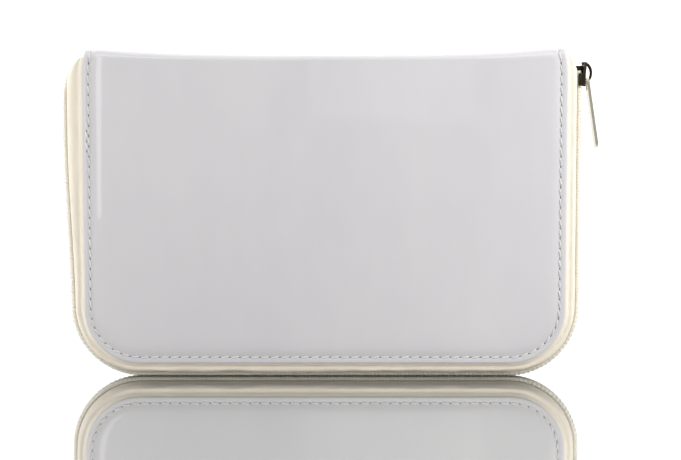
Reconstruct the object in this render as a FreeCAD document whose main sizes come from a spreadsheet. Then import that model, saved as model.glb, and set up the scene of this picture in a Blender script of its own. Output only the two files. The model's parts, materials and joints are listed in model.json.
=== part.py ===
"""Zip-round prayer book: a small book in a padded, stitched cover closed by a coil zip.

Millimetres. The book stands on its zip with the spine on top: X runs along the spine, the
front cover faces -Y and Z is up. z = 0 is the outside of the zip chain, and y = 0 is the
plane in which the two halves of the chain meet. cover_shift moves everything along X, so
that x = 0 is the middle of the overall width with the pull tab.
"""
import math
import os

import FreeCAD
import Part
import Sketcher
from FreeCAD import Vector

doc = FreeCAD.newDocument("prayer_book")

# ---------------------------------------------------------------- driving dimensions
SIZES = {
    # covers
    "cover_wide": 189,      # along the spine
    "cover_tall": 122,      # spine fold to fore edge
    "cover_round": 21.5,    # radius of the two fore-edge corners
    "book_deep": 22,        # over both raised panels
    "spine_round": 3,       # roll of the cover over the spine edge
    "cover_shift": -3.35,   # centre of the covers from the middle of the overall width
    "skin_thick": 0.8,
    "foam_thick": 0.8,
    "board_thick": 1.6,
    "lining_thick": 0.4,
    "panel_step": 0.6,      # how far the padded panel stands above its stitched margin
    "margin_wide": 5,       # stitched margin, outside the board
    "stitch_inset": 2.5,
    "thread_thick": 0.5,
    "joint_gap": 0.15,      # cover edge to hinge line
    # zip
    "zip_bulge": 6.6,       # cover edge to the outside of the coil
    "tape_thick": 0.5,
    "tape_tuck": 4.2,       # tape held between skin and lining
    "tape_edge": 1.0,       # edge of the tape from the middle of the chain
    "coil_high": 2.0,
    "coil_wide": 2.9,       # one half of the chain
    "chain_gap": 0.05,
    "fan_drop": 5,          # end of the zip below the hinge line, at the closed end
    # slider and pull
    "slider_long": 9.7,
    "slider_half": 4.05,
    "slider_drop": 0.5,     # top of the slider below the hinge line
    "plate_thick": 1.1,
    "run_gap": 0.15,
    "flange_low": 0.4,      # lowest point of a flange above the tape
    "flange_thick": 0.9,
    "post_half": 0.7,
    "post_long": 3.1,
    "bridge_wide": 2.2,
    "bridge_high": 2.75,
    "bridge_thick": 0.9,
    "pull_long": 27.7,
    "pull_wide": 6,
    "pull_thick": 1.1,
    "pull_eye": 4.2,        # pivot to the far edge of the eye
    "eye_half": 1.5,
    "pivot_drop": 7.0,      # pivot below the top of the slider
    "pivot_out": 0.925,     # pivot above the outer plate
    "pull_lean": 8.7,       # degrees from plumb, as it hangs
    # book block
    "page_wide": 180,
    "page_tall": 115,
    "page_round": 12,
    "sheet_thick": 0.2,
    "sheet_gap": 0.15,
    "section_front": 1.5,
    "section_rear": 1.55,
    "ribbon_wide": 6,
    "ribbon_x": 20,
    "spine_board": 1.0,
    "mull_thick": 0.3,
    "band_thick": 1.2,      # headband roll
}

sheet = doc.addObject("Spreadsheet::Sheet", "Sizes")
for row, (alias, size) in enumerate(SIZES.items(), start=1):
    sheet.set(f"A{row}", alias)
    sheet.set(f"B{row}", str(size))
    sheet.setAlias(f"B{row}", alias)
doc.recompute()


def size(name):
    """Expression that reads one cell."""
    return f"Sizes.{name}"


def value(expression):
    """The number that an expression gives now."""
    return float(sheet.evalExpression(expression))


# ---------------------------------------------------------------- places worked out from the sizes
HALF_WIDE = f"({size('cover_wide')} / 2)"
HALF_DEEP = f"({size('book_deep')} / 2)"
LOW = size("zip_bulge")
TOP = f"({LOW} + {size('cover_tall')})"
HINGE = f"({TOP} - {size('spine_round')})"
COVER_TOP = f"({HINGE} - {size('joint_gap')})"

# depths from the middle plane, outside to inside
MARGIN_OUT = f"({HALF_DEEP} - {size('panel_step')})"
MARGIN_IN = f"({MARGIN_OUT} - {size('skin_thick')})"
FOAM_OUT = f"({HALF_DEEP} - {size('skin_thick')})"
BOARD_OUT = f"({FOAM_OUT} - {size('foam_thick')})"
LINING_OUT = f"({BOARD_OUT} - {size('board_thick')})"
LINING_IN = f"({LINING_OUT} - {size('lining_thick')})"
TAPE_IN = f"({MARGIN_IN} - {size('tape_thick')})"

# distances outwards from the edge of the cover, across the zip
TAPE_OUT = f"({size('zip_bulge')} - {size('coil_high')})"
PLATE_LOW = f"({size('zip_bulge')} + {size('run_gap')})"
PLATE_TOP = f"({PLATE_LOW} + {size('plate_thick')})"
UNDER_TOP = f"({TAPE_OUT} - {size('tape_thick')} - {size('run_gap')})"
SLIDER_TOP = f"({HINGE} - {size('slider_drop')})"
SLIDER_LOW = f"({SLIDER_TOP} - {size('slider_long')})"

FRONT, REAR = -1, 1
made = []


# ---------------------------------------------------------------- modelling helpers
def new_body(label):
    body = doc.addObject("PartDesign::Body", label)
    body.Label = label
    body.setExpression("Placement.Base.x", size("cover_shift"))
    made.append(body)
    return body


def origin_plane(body, role):
    return next(feature for feature in body.Origin.OriginFeatures if feature.Role == role)


def arc_centre(start, end, radius, side):
    """Centre of the short arc from start to end, on the left (1) or right (-1) of the way."""
    middle = (start + end) * 0.5
    way = end - start
    reach = math.sqrt(max(radius**2 - (way.Length / 2) ** 2, 0))
    left = Vector(-way.y, way.x, 0).normalize()
    return middle + left * (reach * side)


def draw(body, name, role, offset, points, closed=True):
    """Sketch on an origin plane, moved along the plane's normal by an expression.

    Each point is (x, y) as expressions, or (x, y, radius, side) where the edge to the next
    point is an arc. Every coordinate and radius is a named constraint bound to the sheet.
    """
    sketch = body.newObject("Sketcher::SketchObject", name)
    sketch.AttachmentSupport = [(origin_plane(body, role), "")]
    sketch.MapMode = "FlatFace"
    sketch.setExpression("AttachmentOffset.Base.z", offset)
    spots = [Vector(value(point[0]), value(point[1]), 0) for point in points]
    edges = len(points) if closed else len(points) - 1
    for index in range(edges):
        start, end = spots[index], spots[(index + 1) % len(spots)]
        if len(points[index]) == 2:
            sketch.addGeometry(Part.LineSegment(start, end))
            continue
        radius, side = value(points[index][2]), points[index][3]
        centre = arc_centre(start, end, radius, side)
        circle = Part.Circle(centre, Vector(0, 0, 1), radius)
        first, last = (start, end) if side > 0 else (end, start)
        sketch.addGeometry(Part.ArcOfCircle(circle, circle.parameter(first), circle.parameter(last)))
    for index in range(edges):
        is_arc = len(points[index]) > 2
        tail = 2 if not is_arc or points[index][3] > 0 else 1
        head = 3 - tail
        following = index + 1
        if following < edges or closed:
            following %= edges
            next_arc = len(points[following]) > 2
            next_head = 1 if not next_arc or points[following][3] > 0 else 2
            sketch.addConstraint(Sketcher.Constraint("Coincident", index, tail, following, next_head))
        bind(sketch, index, head, spots[index], points[index])
        if is_arc:
            number = sketch.addConstraint(
                Sketcher.Constraint("Radius", index, value(points[index][2])))
            sketch.setExpression(f"Constraints[{number}]", points[index][2])
        if not closed and index == edges - 1:
            bind(sketch, index, tail, spots[-1], points[-1])
    return sketch


def bind(sketch, edge, end, spot, point):
    """Tie one end of an edge to its two expressions."""
    for kind, number, expression in (("DistanceX", spot.x, point[0]), ("DistanceY", spot.y, point[1])):
        index = sketch.addConstraint(Sketcher.Constraint(kind, -1, 1, edge, end, number))
        sketch.setExpression(f"Constraints[{index}]", expression)


def pad(body, sketch, length, backwards=False, both_ways=False):
    feature = body.newObject("PartDesign::Pad", f"{sketch.Name}_pad")
    feature.Profile = sketch
    feature.setExpression("Length", length)
    feature.Reversed = backwards
    feature.Midplane = both_ways
    return feature


def pocket(body, sketch, length, backwards=False):
    feature = body.newObject("PartDesign::Pocket", f"{sketch.Name}_pocket")
    feature.Profile = sketch
    feature.setExpression("Length", length)
    feature.Reversed = backwards
    return feature


def pipe(body, profile, path):
    feature = body.newObject("PartDesign::AdditivePipe", f"{profile.Name}_pipe")
    feature.Profile = profile
    feature.Spine = (path, [f"Edge{number + 1}" for number in range(path.GeometryCount)])
    return feature


def leaf_outline(half, low, high, corner):
    """Square at the spine edge, round at the two fore-edge corners."""
    return [
        (half, high),
        (half, f"{low} + {corner}", corner, -1),
        (f"{half} - {corner}", low),
        (f"-{half} + {corner}", low, corner, -1),
        (f"-{half}", f"{low} + {corner}"),
        (f"-{half}", high),
    ]


def cover_outline(inset, high):
    """Outline of the cover, moved inwards by an expression."""
    return leaf_outline(f"({HALF_WIDE} - {inset})", f"({LOW} + {inset})", high,
                        f"({size('cover_round')} - {inset})")


def layer(body, name, side, outer, thick, outline):
    """Flat layer from depth outer inwards, on the front or the rear half."""
    sketch = draw(body, name, "XZ_Plane", f"-({side}) * {outer}", outline)
    return pad(body, sketch, thick, backwards=side == FRONT)


def recess(body, name, side, inner, deep, outline):
    """Cut from depth inner towards the outside of the book, and stop if nothing was cut."""
    doc.recompute()
    before = body.Shape.Volume
    sketch = draw(body, name, "XZ_Plane", f"-({side}) * {inner}", outline)
    feature = pocket(body, sketch, deep, backwards=side == FRONT)
    doc.recompute()
    if body.Shape.Volume >= before:
        raise ValueError(f"{name} cuts nothing")
    return feature


# ---------------------------------------------------------------- cover boards and skins
def cover_skin(label, side):
    """Outer skin: a stitched margin with the padded panel raised inside it."""
    body = new_body(label)
    panel = f"({size('margin_wide')} - {size('skin_thick')})"
    layer(body, f"{label}_margin", side, MARGIN_OUT, size("skin_thick"), cover_outline("0", COVER_TOP))
    layer(body, f"{label}_panel", side, HALF_DEEP, f"{size('skin_thick')} + {size('panel_step')}",
          cover_outline(panel, COVER_TOP))
    recess(body, f"{label}_hollow", side, MARGIN_IN, f"{FOAM_OUT} - {MARGIN_IN}",
           cover_outline(size("margin_wide"), COVER_TOP))


def foam_pad(label, side):
    body = new_body(label)
    layer(body, f"{label}_sheet", side, FOAM_OUT, size("foam_thick"),
          cover_outline(size("margin_wide"), COVER_TOP))


def cover_board(label, side):
    body = new_body(label)
    layer(body, f"{label}_sheet", side, BOARD_OUT, size("board_thick"),
          cover_outline(size("margin_wide"), COVER_TOP))


def cover_lining(label, side):
    """Inside of the cover: it lies against the tape at the margin and steps over the board."""
    body = new_body(label)
    tray = f"({size('margin_wide')} - {size('lining_thick')})"
    layer(body, f"{label}_margin", side, TAPE_IN, size("lining_thick"), cover_outline("0", COVER_TOP))
    layer(body, f"{label}_tray", side, TAPE_IN, f"{TAPE_IN} - {LINING_IN}", cover_outline(tray, COVER_TOP))
    recess(body, f"{label}_hollow", side, LINING_OUT, f"{TAPE_IN} - {LINING_OUT}",
           cover_outline(size("margin_wide"), COVER_TOP))


# ---------------------------------------------------------------- zip, stitching
def edge_path(body, name, left_end, right_end, inset="0"):
    """The run round the left side, the fore edge and the right side of the cover."""
    half = f"({HALF_WIDE} - {inset})"
    low = f"({LOW} + {inset})"
    corner = f"({size('cover_round')} - {inset})"
    points = [
        (f"-{half}", left_end),
        (f"-{half}", f"{low} + {corner}", corner, 1),
        (f"-{half} + {corner}", low),
        (f"{half} - {corner}", low, corner, 1),
        (half, f"{low} + {corner}"),
        (half, right_end),
    ]
    return draw(body, name, "XZ_Plane", "0", points, closed=False)


def zip_tape(label, side):
    """Woven tape: tucked into the cover's edge, then curved round to the zip chain."""
    body = new_body(label)
    end = f"({HINGE} - {size('fan_drop')})"
    path = edge_path(body, f"{label}_path", end, COVER_TOP)
    bend = TAPE_OUT
    inner = f"({TAPE_OUT} - {size('tape_thick')})"
    turn = f"({MARGIN_IN} - {TAPE_OUT})"
    tuck = f"-({HALF_WIDE} - {size('tape_tuck')})"
    half = f"-{HALF_WIDE}"
    points = [
        (tuck, f"{side} * {MARGIN_IN}"),
        (half, f"{side} * {MARGIN_IN}", bend, side),
        (f"{half} - {bend}", f"{side} * {turn}"),
        (f"{half} - {bend}", f"{side} * {size('tape_edge')}"),
        (f"{half} - {inner}", f"{side} * {size('tape_edge')}"),
        (f"{half} - {inner}", f"{side} * {turn}", inner, -side),
        (half, f"{side} * {TAPE_IN}"),
        (tuck, f"{side} * {TAPE_IN}"),
    ]
    profile = draw(body, f"{label}_section", "XY_Plane", end, points)
    pipe(body, profile, path)


def zip_coil(label, side):
    """One half of the chain, as a bar of the coil's outer shape."""
    body = new_body(label)
    end = f"({HINGE} - {size('fan_drop')})"
    path = edge_path(body, f"{label}_path", end, f"({SLIDER_TOP} - {size('post_long')} - {size('slider_drop')})")
    inner, outer = f"-({HALF_WIDE} + {TAPE_OUT})", f"-({HALF_WIDE} + {size('zip_bulge')})"
    points = [
        (inner, f"{side} * {size('chain_gap')}"),
        (outer, f"{side} * {size('chain_gap')}"),
        (outer, f"{side} * {size('coil_wide')}"),
        (inner, f"{side} * {size('coil_wide')}"),
    ]
    profile = draw(body, f"{label}_section", "XY_Plane", end, points)
    pipe(body, profile, path)


def cover_stitching(label, side):
    """Thread that holds skin, tape and lining together round three sides."""
    body = new_body(label)
    path = edge_path(body, f"{label}_path", COVER_TOP, COVER_TOP, size("stitch_inset"))
    middle = f"-({HALF_WIDE} - {size('stitch_inset')})"
    half = f"{size('thread_thick')} / 2"
    points = [
        (f"{middle} - {half}", f"{side} * {MARGIN_OUT}"),
        (f"{middle} - {half}", f"{side} * ({MARGIN_OUT} + {half})"),
        (f"{middle} + {half}", f"{side} * ({MARGIN_OUT} + {half})"),
        (f"{middle} + {half}", f"{side} * {MARGIN_OUT}"),
    ]
    profile = draw(body, f"{label}_section", "XY_Plane", COVER_TOP, points)
    pipe(body, profile, path)


# ---------------------------------------------------------------- spine
def spine_skin():
    """Skin over the spine, rolled at both edges, with a lower stitched margin at each end."""
    body = new_body("spine_skin")
    low = f"({HINGE} + {size('joint_gap')})"

    def section(name, depth, top, roll, half_long):
        """Filled section of the spine, padded both ways from the middle."""
        flat = f"({depth} - {roll})"
        points = [
            (depth, low),
            (depth, f"({top} - {roll})", roll, 1),
            (flat, top),
            (f"-{flat}", top, roll, 1),
            (f"-{depth}", f"({top} - {roll})"),
            (f"-{depth}", low),
        ]
        return draw(body, name, "YZ_Plane", "0", points), f"2 * {half_long}"

    roll = f"({size('spine_round')} - {size('joint_gap')} * 2)"
    sunk = f"({roll} - {size('panel_step')})"
    margin, length = section("spine_skin_margin", MARGIN_OUT, f"({TOP} - {size('panel_step')})", sunk, HALF_WIDE)
    pad(body, margin, length, both_ways=True)
    raised, length = section("spine_skin_panel", HALF_DEEP, TOP, roll,
                             f"({HALF_WIDE} - {size('margin_wide')} + {size('skin_thick')})")
    pad(body, raised, length, both_ways=True)
    inside = f"({MARGIN_OUT} - {size('skin_thick')})"
    roof = f"({TOP} - {size('panel_step')} - {size('skin_thick')})"
    points = [(inside, low), (inside, roof), (f"-{inside}", roof), (f"-{inside}", low)]
    hollow = draw(body, "spine_skin_hollow", "YZ_Plane", "0", points)
    cut = pocket(body, hollow, f"2 * {HALF_WIDE}")
    cut.Midplane = True


def spine_slab(label, half_deep, top, thick, half_long):
    """Flat strip along the spine, hung below the height top."""
    body = new_body(label)
    points = [
        (half_deep, f"{top} - {thick}"),
        (half_deep, top),
        (f"-{half_deep}", top),
        (f"-{half_deep}", f"{top} - {thick}"),
    ]
    pad(body, draw(body, f"{label}_section", "YZ_Plane", "0", points), f"2 * {half_long}", both_ways=True)


def spine_stitching():
    """The side seams carried on over the two ends of the spine."""
    body = new_body("spine_stitching")
    top = f"({TOP} - {size('panel_step')})"
    half = f"({size('thread_thick')} / 2)"
    flat = f"({MARGIN_OUT} - {size('spine_round')})"
    for index, sign in enumerate((-1, 1)):
        middle = f"({sign} * ({HALF_WIDE} - {size('stitch_inset')}))"
        points = [
            (f"{middle} - {half}", f"-{flat}"),
            (f"{middle} + {half}", f"-{flat}"),
            (f"{middle} + {half}", flat),
            (f"{middle} - {half}", flat),
        ]
        pad(body, draw(body, f"spine_seam_{index}", "XY_Plane", top, points), half)


def headband(label, sign):
    """Rolled band sewn over one end of the block at the spine."""
    body = new_body(label)
    start = f"({sign} * ({size('page_wide')} / 2 + {size('sheet_gap')}))"
    end = f"({start} + {sign} * {size('band_thick')})"
    low = f"({HINGE} - {size('band_thick')})"
    high = f"({HINGE} + {size('mull_thick')} + {size('joint_gap')})"
    points = [(start, low), (end, low), (end, high), (start, high)]
    pad(body, draw(body, f"{label}_section", "XZ_Plane", "0", points), f"2 * {BLOCK_HALF}", both_ways=True)


# ---------------------------------------------------------------- book block
BLOCK_HALF = f"({LINING_IN} - {size('sheet_thick')} * 2)"
PAGE_LOW = f"({HINGE} - {size('page_tall')})"


def page_slab(label, low, thick, top, side=REAR):
    """Sheets whose inner face is at depth low from the middle, on one side of it."""
    body = new_body(label)
    outline = leaf_outline(f"({size('page_wide')} / 2)", PAGE_LOW, top, size("page_round"))
    layer(body, f"{label}_sheets", side, f"({low} + {thick})", thick, outline)


def pastedown(label, side):
    page_slab(label, f"({LINING_IN} - {size('sheet_thick')})", size("sheet_thick"), COVER_TOP, side)


def ribbon():
    """Marker ribbon glued to the spine, lying between the pages and a little longer."""
    body = new_body("ribbon_marker")
    half = f"{size('ribbon_wide')} / 2"
    left, right = f"{size('ribbon_x')} - {half}", f"{size('ribbon_x')} + {half}"
    low = f"({PAGE_LOW} - {size('joint_gap')} * 20)"
    high = f"({HINGE} + {size('joint_gap')})"
    points = [(left, high), (right, high), (right, low), (left, low)]
    layer(body, "ribbon_strip", REAR, f"({RIBBON_LOW} + {size('sheet_thick')})", size("sheet_thick"), points)


LEAF_PITCH = f"({size('sheet_thick')} + {size('sheet_gap')})"
FIRST_LEAF = f"({size('sheet_gap')} - 2 * {LEAF_PITCH})"
RIBBON_LOW = f"({FIRST_LEAF} + 3 * {LEAF_PITCH})"
REAR_BLOCK = f"({RIBBON_LOW} + {size('sheet_thick')})"
FRONT_BLOCK = f"({size('sheet_gap')} - {FIRST_LEAF})"
SECTIONS = 4


def book_block():
    page_top = f"({HINGE} + {size('joint_gap')})"
    for index in range(SECTIONS):
        low = f"({FRONT_BLOCK} + {index} * {size('section_front')})"
        page_slab(f"front_section_{index + 1}", low, size("section_front"), COVER_TOP, FRONT)
        low = f"({REAR_BLOCK} + {index} * {size('section_rear')})"
        page_slab(f"rear_section_{index + 1}", low, size("section_rear"), page_top)
    front_end = f"({FRONT_BLOCK} + {SECTIONS} * {size('section_front')})"
    rear_end = f"({REAR_BLOCK} + {SECTIONS} * {size('section_rear')})"
    page_slab("front_flyleaf", front_end, size("sheet_thick"), COVER_TOP, FRONT)
    page_slab("rear_flyleaf", rear_end, size("sheet_thick"), page_top)
    for index in range(3):
        page_slab(f"loose_leaf_{index + 1}", f"({FIRST_LEAF} + {index} * {LEAF_PITCH})",
                  size("sheet_thick"), HINGE)


# ---------------------------------------------------------------- slider and pull
def across_zip(distance):
    """X of a distance outwards from the right edge of the cover."""
    return f"({HALF_WIDE} + {distance})"


def slider_body():
    """Two plates joined by a post, with flanges that hold the coils together."""
    body = new_body("slider_body")
    wide, taper = size("slider_half"), size("flange_thick")
    plate = [
        (f"-{wide} + {taper}", SLIDER_TOP),
        (f"-{wide}", f"{SLIDER_TOP} - {taper}"),
        (f"-{wide}", f"{SLIDER_LOW} + {taper}"),
        (f"-{wide} + {taper}", SLIDER_LOW),
        (f"{wide} - {taper}", SLIDER_LOW),
        (wide, f"{SLIDER_LOW} + {taper}"),
        (wide, f"{SLIDER_TOP} - {taper}"),
        (f"{wide} - {taper}", SLIDER_TOP),
    ]
    outer = draw(body, "slider_outer", "YZ_Plane", across_zip(PLATE_LOW), plate)
    pad(body, outer, size("plate_thick"))
    deep = f"({PLATE_LOW} - {UNDER_TOP})"
    middle = f"({SLIDER_TOP} - {size('post_long')} / 2)"
    post = [
        (f"-{size('post_half')}", middle),
        ("0", f"{SLIDER_TOP} - {size('post_long')}"),
        (size("post_half"), middle),
        (size("post_half"), SLIDER_TOP),
        (f"-{size('post_half')}", SLIDER_TOP),
    ]
    pad(body, draw(body, "slider_post", "YZ_Plane", across_zip(UNDER_TOP), post), deep)
    inner = draw(body, "slider_inner", "YZ_Plane", across_zip(f"({UNDER_TOP} - {size('plate_thick')})"), plate)
    pad(body, inner, size("plate_thick"))
    flange_low = f"({TAPE_OUT} + {size('flange_low')})"
    for sign in (-1, 1):
        strip = [
            (f"{sign} * ({wide} - {taper})", f"{SLIDER_TOP} - {taper}"),
            (f"{sign} * {wide}", f"{SLIDER_TOP} - {taper}"),
            (f"{sign} * {wide}", f"{SLIDER_LOW} + {taper}"),
            (f"{sign} * ({wide} - {taper})", f"{SLIDER_LOW} + {taper}"),
        ]
        name = "slider_flange_left" if sign < 0 else "slider_flange_right"
        pad(body, draw(body, name, "YZ_Plane", across_zip(flange_low), strip), f"{PLATE_LOW} - {flange_low}")


def slider_bridge():
    """Bowed strap over the slider, which the pull's eye hangs on."""
    body = new_body("slider_bridge")
    thick = size("bridge_thick")
    foot = across_zip(PLATE_TOP)
    crown = f"({foot} + {size('bridge_high')})"
    shoulder = f"({crown} - {thick})"
    high, low = f"({SLIDER_TOP} - {thick} / 2)", f"({SLIDER_LOW} + {thick} / 2)"
    points = [
        (foot, high),
        (shoulder, high),
        (crown, f"{high} - 3 * {thick}"),
        (crown, f"{low} + 2 * {thick}"),
        (shoulder, low),
        (foot, low),
        (foot, f"{low} + {thick}"),
        (f"{shoulder} - {thick} / 2", f"{low} + {thick}"),
        (shoulder, f"{low} + 2 * {thick}"),
        (shoulder, f"{high} - 3 * {thick}"),
        (f"{shoulder} - {thick} / 2", f"{high} - {thick}"),
        (foot, f"{high} - {thick}"),
    ]
    pad(body, draw(body, "bridge_side", "XZ_Plane", "0", points), size("bridge_wide"), both_ways=True)


def pull_tab():
    """Flat pull with an eye, drawn plumb about its pivot and then leaned outwards."""
    body = new_body("pull_tab")
    half, eye, thick = f"({size('pull_wide')} / 2)", size("pull_eye"), size("pull_thick")
    bar = f"({thick} / 2)"
    end = f"-({size('pull_long')} - {bar})"
    outline = [
        (f"-{half} + {bar}", bar),
        (f"-{half}", f"-{bar}"),
        (f"-{half}", f"{end} + {half}", half, 1),
        ("0", end, half, 1),
        (half, f"{end} + {half}"),
        (half, f"-{bar}"),
        (f"{half} - {bar}", bar),
    ]
    plate = draw(body, "pull_outline", "YZ_Plane", "0", outline)
    pad(body, plate, thick, both_ways=True)
    hole = [
        (f"-{size('eye_half')}", f"-{bar}"),
        (size("eye_half"), f"-{bar}"),
        (size("eye_half"), f"-{eye}"),
        (f"-{size('eye_half')}", f"-{eye}"),
    ]
    cut = pocket(body, draw(body, "pull_eye", "YZ_Plane", "0", hole), f"2 * {thick}")
    cut.Midplane = True
    body.setExpression("Placement.Base.x", f"{size('cover_shift')} + {across_zip(PLATE_TOP)} + {size('pivot_out')}")
    body.setExpression("Placement.Base.z", f"{SLIDER_TOP} - {size('pivot_drop')}")
    body.setExpression("Placement.Rotation.Axis.x", "0")
    body.setExpression("Placement.Rotation.Axis.y", "-1")
    body.setExpression("Placement.Rotation.Axis.z", "0")
    body.setExpression("Placement.Rotation.Angle", size("pull_lean"))


# ---------------------------------------------------------------- the whole book
for side_name, side in (("front", FRONT), ("rear", REAR)):
    cover_skin(f"{side_name}_cover_skin", side)
    foam_pad(f"{side_name}_foam", side)
    cover_board(f"{side_name}_board", side)
    cover_lining(f"{side_name}_lining", side)
    zip_tape(f"{side_name}_zip_tape", side)
    zip_coil(f"{side_name}_zip_coil", side)
    cover_stitching(f"{side_name}_stitching", side)
    pastedown(f"{side_name}_pastedown", side)

spine_skin()
ROOF = f"({TOP} - {size('panel_step')} - {size('skin_thick')})"
SPINE_FLAT = f"({MARGIN_OUT} - {size('spine_round')})"
SPINE_LONG = f"({HALF_WIDE} - {size('margin_wide')})"
spine_slab("spine_board", SPINE_FLAT, ROOF, size("spine_board"), SPINE_LONG)
MULL_TOP = f"({ROOF} - {size('spine_board')})"
MULL_LOW = f"({HINGE} + {size('joint_gap')})"
spine_slab("spine_mull", BLOCK_HALF, MULL_TOP, f"({MULL_TOP} - {MULL_LOW})", f"({size('page_wide')} / 2)")
spine_stitching()
headband("head_band", -1)
headband("tail_band", 1)
book_block()
ribbon()
slider_body()
slider_bridge()
pull_tab()
doc.recompute()

os.makedirs("parts", exist_ok=True)
for body in made:
    shape = body.Shape
    print(f"{body.Label:22s} solids {len(shape.Solids)} volume {shape.Volume:10.2f} valid {shape.isValid()}")
    shape.exportStep(f"parts/{body.Label}.step")
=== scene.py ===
# %% [markdown]
# # A prayer book in a zip-round cover
# The book is a small block of pages inside a soft case. The case is one sheet of glossy patent
# material, padded over two boards, sewn round its edge to a zip, and folded over the spine. This
# lesson builds what the eye sees: the skin, its stitches, the woven tape, the coils of the zip,
# the metal slider and pull, and the paper inside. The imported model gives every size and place.

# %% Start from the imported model
import json
import math

import bmesh
import bpy
from mathutils import Matrix, Vector, noise


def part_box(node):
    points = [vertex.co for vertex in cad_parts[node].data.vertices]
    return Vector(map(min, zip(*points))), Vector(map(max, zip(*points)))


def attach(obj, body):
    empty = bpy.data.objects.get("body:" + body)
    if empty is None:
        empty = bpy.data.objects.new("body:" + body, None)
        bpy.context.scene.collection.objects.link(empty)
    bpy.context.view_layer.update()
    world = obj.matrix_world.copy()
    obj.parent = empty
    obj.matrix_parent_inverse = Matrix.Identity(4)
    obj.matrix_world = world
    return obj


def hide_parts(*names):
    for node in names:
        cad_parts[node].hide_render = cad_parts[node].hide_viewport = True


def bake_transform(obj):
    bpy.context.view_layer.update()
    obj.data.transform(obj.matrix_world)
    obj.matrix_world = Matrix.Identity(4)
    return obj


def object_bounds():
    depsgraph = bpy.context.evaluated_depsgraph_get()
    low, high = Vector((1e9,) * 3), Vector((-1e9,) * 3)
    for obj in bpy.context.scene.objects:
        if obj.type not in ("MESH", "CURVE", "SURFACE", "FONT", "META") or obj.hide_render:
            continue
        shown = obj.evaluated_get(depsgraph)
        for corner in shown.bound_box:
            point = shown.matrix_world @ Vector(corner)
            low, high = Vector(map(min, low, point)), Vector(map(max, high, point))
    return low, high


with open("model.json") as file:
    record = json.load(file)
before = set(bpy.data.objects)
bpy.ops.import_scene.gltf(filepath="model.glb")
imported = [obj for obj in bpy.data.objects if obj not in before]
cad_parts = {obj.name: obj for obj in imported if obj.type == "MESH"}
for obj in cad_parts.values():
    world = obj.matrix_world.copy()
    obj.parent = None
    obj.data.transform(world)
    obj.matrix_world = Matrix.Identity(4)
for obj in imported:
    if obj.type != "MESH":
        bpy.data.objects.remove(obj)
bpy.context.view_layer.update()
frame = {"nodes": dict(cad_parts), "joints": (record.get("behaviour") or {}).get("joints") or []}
MM = 0.001
FRONT, REAR = -1, 1
SIDES = {"front": FRONT, "rear": REAR}

# %% [markdown]
# ## Places to build from
# Everything is placed from a few faces of the model: the edges of the front skin, the top of the
# spine, and the line that the front cover turns on. The roll over the spine starts at that line.

# %% Read the main sizes from the model
skin_low, skin_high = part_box("front_cover_skin")
spine_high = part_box("spine_skin")[1]
joints = {joint["name"]: joint for joint in frame["joints"]}
MIDDLE_X = (skin_low[0] + skin_high[0]) / 2
HALF_WIDE = (skin_high[0] - skin_low[0]) / 2
LOW = skin_low[2]
TOP = spine_high[2]
HALF_DEEP = spine_high[1]
HINGE = joints["front_cover_hinge"]["pos_m"][2]
CORNER = 21.5 * MM
ROLL = TOP - HINGE
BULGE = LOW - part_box("front_zip_coil")[0][2]
print("covers", round(HALF_WIDE * 2 / MM, 1), "by", round((TOP - LOW) / MM, 1), "mm")
print("zip stands out", round(BULGE / MM, 2), "mm")

# %% [markdown]
# ## Shader maths that reads like maths
# A finish is a small network of nodes. Wrapping a socket in a class lets an expression such as
# `1 - mask * 0.3` add its own Math nodes, and one method makes every other kind of node.

# %% A socket that does sums, and a finish that holds a material
class Wire:
    """One output socket. Sums on it add Math nodes to its tree."""

    def __init__(self, tree, socket):
        self.tree = tree
        self.socket = socket

    def sum(self, operation, first, second=0.0):
        maths = self.tree.nodes.new("ShaderNodeMath")
        maths.operation = operation
        for place, term in zip(maths.inputs, (first, second)):
            if isinstance(term, Wire):
                self.tree.links.new(term.socket, place)
            else:
                place.default_value = term
        return Wire(self.tree, maths.outputs[0])

    def __add__(self, other):
        return self.sum("ADD", self, other)

    def __radd__(self, other):
        return self.sum("ADD", other, self)

    def __sub__(self, other):
        return self.sum("SUBTRACT", self, other)

    def __rsub__(self, other):
        return self.sum("SUBTRACT", other, self)

    def __mul__(self, other):
        return self.sum("MULTIPLY", self, other)

    def __rmul__(self, other):
        return self.sum("MULTIPLY", other, self)

    def wave(self):
        """Sine of the value, from 0 to 1."""
        return self.sum("SINE", self) * 0.5 + 0.5


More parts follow.
